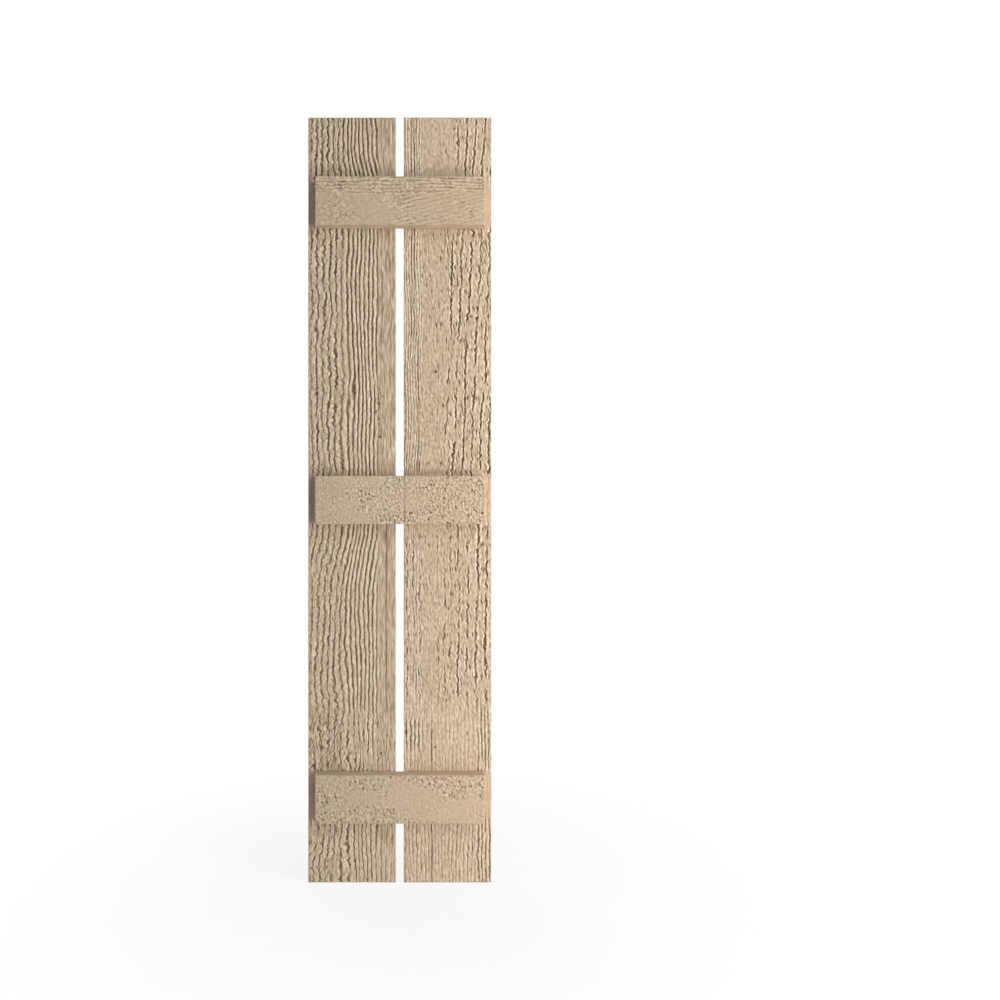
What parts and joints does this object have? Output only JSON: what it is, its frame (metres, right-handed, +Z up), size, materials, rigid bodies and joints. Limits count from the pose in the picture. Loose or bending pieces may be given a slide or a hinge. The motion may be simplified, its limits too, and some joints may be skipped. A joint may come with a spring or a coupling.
{
  "type": "board and batten shutter",
  "caption": "Spaced board and batten window shutter: upright rough-sawn boards with a gap between them, joined by battens across the front and screwed from behind.",
  "frame": {"origin": "middle of the left board's back face, at the shutter's mid-height", "axes": "+Z up the boards, +X to the right seen from the front, +Y out of the back towards the wall"},
  "size_m": [0.292, 0.0444, 1.2192],
  "materials": {
    "rough_sawn_timber": "matt tan stain",
    "screw_steel": "zinc plated"
  },
  "bodies": {
    "root": {"left_board": "rough_sawn_timber", "right_board": "rough_sawn_timber", "bottom_batten": "rough_sawn_timber", "middle_batten": "rough_sawn_timber", "top_batten": "rough_sawn_timber", "bottom_batten_screws": "screw_steel", "middle_batten_screws": "screw_steel", "top_batten_screws": "screw_steel"}
  },
  "joints": []
}
